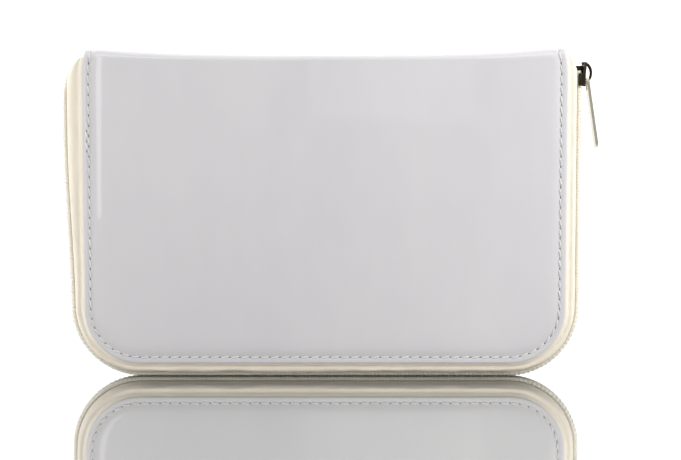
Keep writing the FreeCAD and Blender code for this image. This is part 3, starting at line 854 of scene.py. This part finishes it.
def coil_cord(half):
    side, steps, around = SIDES[half], 240, 8
    bm = bmesh.new()
    bmesh.ops.create_grid(bm, x_segments=steps, y_segments=around, size=0.5)
    start, length = CORD_END, ZIP_LENGTH - 2 * CORD_END
    for vert in bm.verts:
        t = start + (vert.co.x + 0.5) * length
        turn = (vert.co.y + 0.5) * math.tau
        x, z, out_x, out_z = zip_edge(t)
        out = (CORD_OUT + fullness(t)) * closing(t) + coil_rise(t) + CORD_HIGH * math.cos(turn)
        off = COIL_OFF + CORD_WIDE * math.sin(turn)
        vert.co = (x + out_x * out, side * off, z + out_z * out)
    bmesh.ops.remove_doubles(bm, verts=bm.verts, dist=1e-6)
    bmesh.ops.holes_fill(bm, edges=[edge for edge in bm.edges if edge.is_boundary], sides=0)
    bmesh.ops.recalc_face_normals(bm, faces=bm.faces)
    made = piece(f"{half}_coil_cord", bm, cord_cloth)
    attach(made, f"{half}_cover")


def coil_sewing(half):
    side, places = SIDES[half], []
    small = capsule(1.25 * MM, 0.40 * MM, 0.12 * MM)
    for index in range(int((ZIP_LENGTH - 14 * MM) / SEWN_PITCH)):
        t = SEWN_END + index * SEWN_PITCH
        out = (SEWN_OUT + fullness(t)) * closing(t)
        places.append(round_frame(t, side, out, SEWN_OFF))
    bm = place_all(bmesh.new(), small, places)
    bmesh.ops.recalc_face_normals(bm, faces=bm.faces)
    made = piece(f"{half}_coil_sewing", bm, zip_thread)
    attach(made, f"{half}_cover")


for half in SIDES:
    coil_cord(half)
    coil_sewing(half)

# %% [markdown]
# ## The lining
# Inside each cover the board is wrapped in lining cloth, which is sewn down in the same seam as
# the skin. It is a flat sheet with insets again: flat at the margin, then up over the board.

# %% Line a cover
LINING_RELIEF = [                             # distance from the edge and off the middle, in mm
    (0.5, 8.92), (1.1, 8.90), (2.5, 8.93), (4.4, 8.90), (4.9, 8.60), (5.1, 7.95), (5.6, 7.64),
    (6.4, 7.60), (9.0, 7.60),
]
SPARE = 30 * MM                               # extra cloth at the top, which is cut away


def lining(half):
    side = SIDES[half]
    edge, top = LINING_RELIEF[0][0] * MM, HINGE - 0.4 * MM
    bm = flat_outline(HALF_WIDE - edge, LOW + edge, top + SPARE, CORNER - edge)
    rings = rings_of(bm, LINING_RELIEF)
    for (_, depth), ring in zip(LINING_RELIEF, rings):
        for vert in ring:
            vert.co.z = depth * MM
    geometry = bm.verts[:] + bm.edges[:] + bm.faces[:]
    bmesh.ops.bisect_plane(
        bm, geom=geometry, dist=1e-6, plane_co=(0, top, 0), plane_no=(0, 1, 0), clear_outer=True)
    for vert in bm.verts:
        x, z, depth = vert.co
        vert.co = (MIDDLE_X + x, side * depth, z)
    bmesh.ops.recalc_face_normals(bm, faces=bm.faces)
    made = piece(f"{half}_cover_lining", bm, lining_cloth)
    add_modifier(made, "SOLIDIFY", thickness=0.3 * MM, offset=0.0)
    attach(made, f"{half}_cover")
    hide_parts(f"{half}_lining")
    wide, tall = 2 * (HALF_WIDE - edge), top - LOW - edge
    corners = (4 - math.pi) / 2 * (CORNER - edge) ** 2
    wide * tall - corners
    print(half, "lining cut", round(wide / MM), "by", round(tall / MM), "mm")


for half in SIDES:
    lining(half)

# %% [markdown]
# ## Head bands and ribbon
# A head band is a bead of silk sewn over a cord at each end of the book's back. A ring of points
# is extruded along the back. Known fault: after the first step the face taken is a side face and
# not the end cap, so the bead comes out short and folded, and differs from run to run. The ribbon
# is a strip of satin glued in at the top, hanging between the pages, so it is flat apart from a
# slow ripple.

# %% Head and tail bands
def back_band(node):
    low, high = (Vector(corner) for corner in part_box(node))
    middle, radius = (low + high) / 2, (high.x - low.x) / 2
    bm = bmesh.new()
    ring = bmesh.ops.create_circle(bm, cap_ends=True, segments=12, radius=radius)["verts"]
    bmesh.ops.rotate(bm, verts=ring, cent=(0, 0, 0), matrix=Matrix.Rotation(math.pi / 2, 3, "X"))
    bmesh.ops.translate(bm, verts=ring, vec=(middle.x, low.y, high.z - radius))
    steps = 28
    for step in range(steps):
        grown = bmesh.ops.extrude_face_region(bm, geom=[bm.faces[:][-1]] if step else bm.faces[:])
        verts = [part for part in grown["geom"] if isinstance(part, bmesh.types.BMVert)]
        bmesh.ops.translate(bm, verts=verts, vec=(0, (high.y - low.y) / steps, 0))
        bm.faces.ensure_lookup_table()
    for vert in bm.verts:
        swell_share = 1 + 0.05 * math.sin((vert.co.y - low.y) / (1.0 * MM) * math.tau)
        vert.co.x = middle.x + (vert.co.x - middle.x) * swell_share
    bmesh.ops.recalc_face_normals(bm, faces=bm.faces)
    made = piece(f"{node}_bead", bm, band_silk)
    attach(made, "book_block")
    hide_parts(node)


for node in ("head_band", "tail_band"):
    back_band(node)


# %% Ribbon
def ribbon():
    low, high = (Vector(corner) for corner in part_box("ribbon_marker"))
    wide, tall = high.x - low.x, high.z - low.z
    middle = (low + high) / 2
    bm = bmesh.new()
    bmesh.ops.create_grid(bm, x_segments=6, y_segments=60, size=0.5)
    for vert in bm.verts:
        across, down = vert.co.x, 0.5 - vert.co.y
        notch = 2.2 * MM * (1 - abs(across) * 2) * max(0.0, 1 - (1 - down) * 60)
        wave = 0.03 * MM * math.sin(down * 21) * min(down * 4, 1)
        vert.co = (middle.x + across * wide, middle.y + wave, high.z - down * tall + notch)
    bmesh.ops.recalc_face_normals(bm, faces=bm.faces)
    made = piece("page_ribbon", bm, ribbon_satin)
    add_modifier(made, "SOLIDIFY", thickness=0.12 * MM, offset=0.0)
    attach(made, "book_block")
    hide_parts("ribbon_marker")
    print("ribbon cut", round(wide / MM, 1), "by", round(tall / MM), "mm")


ribbon()

# %% [markdown]
# ## The slider
# A slider is two pressed plates joined by a post at the nose. The plates spread apart at the
# nose, and a wall on each side of the tail keeps the coils together. Each plate is one face with
# cut corners, extruded and then bent at the nose.

# %% Plates and post of the slider
slide_low, slide_high = (Vector(corner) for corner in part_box("slider_body"))
PLATE = 1.05 * MM
NOSE = slide_high.z
TAIL = slide_low.z
SPREAD_FROM = TAIL + 4.6 * MM
BACK_SPREAD, FACE_SPREAD = -1.25 * MM, 0.55 * MM
HALF_SLIDE = slide_high.y
WALL_IN, WALL_OUT = 0.95 * MM, 0.06 * MM      # from the edge of the plates
WALL_FROM, WALL_TO = 0.3 * MM, 5.2 * MM       # up from the tail
WALL_GAP = 2.15 * MM                          # left open for the tapes, behind the side walls
POST_HALF = 0.7 * MM
POST_FROM, POST_TO = 4.7 * MM, 1.6 * MM       # down from the nose
SUNK = 0.4 * MM                               # how far post and walls go into a plate


def bent_plate(bm, start_x, spread):
    """Add a plate whose inner face is at start_x and whose nose bends by spread."""
    outline = [
        (0.76, 0.0), (0.86, 0.18), (1.0, 0.55), (1.0, 0.78), (0.72, 0.97), (0.5, 1.0),
    ]
    outline += [(-y, z) for y, z in reversed(outline)]
    verts = [bm.verts.new((start_x, y * HALF_SLIDE, TAIL + z * (NOSE - TAIL))) for y, z in outline]
    face = bm.faces.new(verts)
    grown = bmesh.ops.extrude_face_region(bm, geom=[face])["geom"]
    top = [part for part in grown if isinstance(part, bmesh.types.BMVert)]
    bmesh.ops.translate(bm, verts=top, vec=(PLATE, 0, 0))
    made = set(verts + top)
    for step in range(6):
        height = SPREAD_FROM + step * (NOSE - SPREAD_FROM) / 6.5
        parts = [part for group in (bm.faces, bm.edges) for part in group if set(part.verts) <= made]
        cut = bmesh.ops.bisect_plane(
            bm, geom=parts + list(made), dist=1e-6, plane_co=(0, 0, height), plane_no=(0, 0, 1))["geom_cut"]
        made |= {part for part in cut if isinstance(part, bmesh.types.BMVert)}
    for vert in made:
        share = max(0.0, (vert.co.z - SPREAD_FROM) / (NOSE - SPREAD_FROM))
        vert.co.x += spread * share ** 1.6


def block(bm, low, high):
    """Add a box between two corners, for a later bevel to round."""
    verts = bmesh.ops.create_cube(bm, size=1)["verts"]
    size, spot = Vector(high) - Vector(low), (Vector(high) + Vector(low)) / 2
    bmesh.ops.scale(bm, verts=verts, vec=size)
    bmesh.ops.translate(bm, verts=verts, vec=spot)
    return verts


def slider():
    bm = bmesh.new()
    bent_plate(bm, slide_low.x, BACK_SPREAD)
    bent_plate(bm, slide_high.x - PLATE, FACE_SPREAD)
    for side in (-1, 1):
        near, far = sorted((side * (HALF_SLIDE - WALL_IN), side * (HALF_SLIDE - WALL_OUT)))
        low = (slide_low.x + WALL_GAP, near, TAIL + WALL_FROM)
        block(bm, low, (slide_high.x - SUNK, far, TAIL + WALL_TO))
    low = (slide_low.x + SUNK, -POST_HALF, NOSE - POST_FROM)
    post = block(bm, low, (slide_high.x - SUNK, POST_HALF, NOSE - POST_TO))
    for vert in post:
        if vert.co.z < NOSE - 3 * MM:
            vert.co.y *= 0.3
    bmesh.ops.recalc_face_normals(bm, faces=bm.faces)
    # Its dark colour is painted reflection and shade on nickel.
    made = piece("slider_plates", bm, dark_nickel)
    add_modifier(made, "BEVEL", width=0.22 * MM, segments=3, limit_method="ANGLE", angle_limit=0.7)
    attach(made, "zip_slider")
    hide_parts("slider_body")


slider()

# %% [markdown]
# The pull hangs in a bridge, a strip bent over from the nose with its free end left a little
# open. It is a flat bar swept round an oval: a grid is rolled into a bar, thinner at its end.

# %% Bridge of the slider
BRIDGE_REACH, BRIDGE_TALL = 2.7 * MM, 3.75 * MM
BRIDGE_FROM, BRIDGE_SWEEP = 112, 182          # degrees round the oval
BAR_THICK, BAR_WIDE = 0.72 * MM, 1.08 * MM    # half sizes of the bar
SQUARED = 0.7                                 # below 1, the bar's section is nearer a square


def bridge():
    low, high = (Vector(corner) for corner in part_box("slider_bridge"))
    centre_x, centre_z = low.x - 0.2 * MM, high.z - BRIDGE_TALL - 0.3 * MM
    bm = bmesh.new()
    bmesh.ops.create_grid(bm, x_segments=28, y_segments=12, size=0.5)
    for vert in bm.verts:
        share = vert.co.x + 0.5
        turn = math.radians(BRIDGE_FROM - BRIDGE_SWEEP * share)
        taper = 1.0 - 0.35 * share
        ring = (vert.co.y + 0.5) * math.tau
        thick, wide = (
            size * taper * math.copysign(abs(wave) ** SQUARED, wave)
            for size, wave in ((BAR_THICK, math.cos(ring)), (BAR_WIDE, math.sin(ring))))
        out = (BRIDGE_REACH + thick) * math.cos(turn)
        vert.co = (centre_x + out, wide, centre_z + (BRIDGE_TALL + thick) * math.sin(turn))
    bmesh.ops.remove_doubles(bm, verts=bm.verts, dist=1e-6)
    bmesh.ops.holes_fill(bm, edges=[edge for edge in bm.edges if edge.is_boundary], sides=0)
    bmesh.ops.recalc_face_normals(bm, faces=bm.faces)
    # Its dark colour is painted reflection and shade on nickel.
    made = piece("pull_bridge", bm, dark_nickel)
    add_modifier(made, "SUBSURF", levels=1, render_levels=1)
    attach(made, "zip_slider")
    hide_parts("slider_bridge")


bridge()

# %% [markdown]
# ## Materials for the parts that keep the model's own shape
# The boards, pages and pull are already the right shape, so they only change their material.
# The model's own soft parts are hidden, and they get a finish too.

# %% Give the model's parts their finishes
KEPT = {
    "board": greyboard, "lining": lining_cloth, "pastedown": endpaper, "flyleaf": endpaper,
    "section": page_paper, "leaf": page_paper, "mull": mull_cloth, "band": band_silk,
    "ribbon": ribbon_satin, "slider": dark_nickel, "pull": pale_nickel, "coil": nylon_coil,
}
for node, made in frame["nodes"].items():
    chosen = next((finish for key, finish in KEPT.items() if key in node), None)
    target = bpy.data.objects.get(node)
    if target is None or chosen is None:
        continue
    for place in target.material_slots:
        place.material = chosen

# %% [markdown]
# ## Floor, light and camera
# The book stands on a pale glossy floor in front of white. Two kinds of light fall on it: soft
# ones that only light it, and strips that show in the patent skin. The strips are kept off the
# floor, where they would lie beside the book as white patches. The camera looks slightly down
# and its lens is raised a little, which keeps the upright edges upright.

# %% Floor
floor_finish = Finish("floor", Roughness=0.03, Metallic=0.88)
floor_finish.set(Base_Color=(0.76, 0.765, 0.75))
bm = bmesh.new()
bmesh.ops.create_grid(bm, x_segments=4, y_segments=4, size=4.0)
floor = bpy.data.objects.new("floor", bpy.data.meshes.new("floor"))
bm.to_mesh(floor.data)
bm.free()
floor.data.materials.append(floor_finish.material)
bpy.context.scene.collection.objects.link(floor)
floor.location.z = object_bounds()[0][2]


# %% Lights
no_floor = bpy.data.collections.new("all_but_floor")
no_floor.objects.link(floor)
no_floor.collection_objects[0].light_linking.link_state = "EXCLUDE"


def area_light(name, place, target, size, power, mirrored=False):
    data = bpy.data.lights.new(name, "AREA")
    data.shape = "RECTANGLE"
    data.size, data.size_y = size
    data.energy = power
    lamp = bpy.data.objects.new(name, data)
    lamp.location = place
    lamp.rotation_euler = (Vector(target) - Vector(place)).to_track_quat("-Z", "Y").to_euler()
    lamp.visible_glossy = mirrored
    lamp.visible_camera = False
    if mirrored:
        lamp.light_linking.receiver_collection = no_floor
    bpy.context.scene.collection.objects.link(lamp)


middle = (0, 0, 0.06)
area_light("key", (0.34, -0.22, 0.20), middle, (0.25, 0.3), 1.05)
area_light("left_strip", (-0.27, -0.62, 0.12), (-0.09, 0, 0.07), (0.10, 0.6), 0.45, mirrored=True)
area_light("left_side", (-0.6, -0.06, 0.12), (-0.1, 0, 0.06), (0.3, 0.4), 1.3)
area_light("left_low", (-0.45, -0.35, 0.03), (-0.08, 0, 0.005), (0.2, 0.05), 0.36)
area_light("top", (0, 0.1, 0.9), middle, (0.9, 0.4), 1.5)
area_light("roll_strip", (0, -0.5, 0.62), (0, 0, 0.12), (0.9, 0.07), 0.6, mirrored=True)
area_light("window", (0.05, -0.85, 0.17), (0, 0, 0.08), (0.16, 0.2), 0.06, mirrored=True)
world = bpy.data.worlds.new("studio")
bpy.context.scene.world = world
world.use_nodes = True
sky = world.node_tree
direction = sky.nodes.new("ShaderNodeTexCoord").outputs["Generated"]
split = sky.nodes.new("ShaderNodeSeparateXYZ")
sky.links.new(direction, split.inputs[0])
fade = sky.nodes.new("ShaderNodeMapRange")
fade.interpolation_type = "SMOOTHSTEP"
for name, value in (("From Min", -0.6), ("From Max", 0.35), ("To Min", 0.50), ("To Max", 1.4)):
    fade.inputs[name].default_value = value
sky.links.new(split.outputs["Y"], fade.inputs["Value"])
sky.nodes["Background"].inputs["Color"].default_value = (1, 1, 1, 1)
sky.links.new(fade.outputs["Result"], sky.nodes["Background"].inputs["Strength"])

# %% Camera
DISTANCE = 620 * MM                           # from the front of the case
EYE = 127 * MM                                # height of the camera
ASIDE = 2.7 * MM
PITCH_DOWN = math.radians(4.4)
FOCAL, SENSOR = 84.35, 36.0                   # in mm, as a camera gives them
RAISED = -0.074                               # lens shift, as a share of the frame's width
lens = bpy.data.cameras.new("camera")
lens.sensor_width = SENSOR
lens.lens = FOCAL
lens.shift_y = RAISED
camera = bpy.data.objects.new("camera", lens)
camera.location = (ASIDE, -HALF_DEEP - DISTANCE, EYE)
camera.rotation_euler = (math.pi / 2 - PITCH_DOWN, 0, 0)
bpy.context.scene.collection.objects.link(camera)
bpy.context.scene.camera = camera
bpy.context.scene.view_settings.view_transform = "Standard"
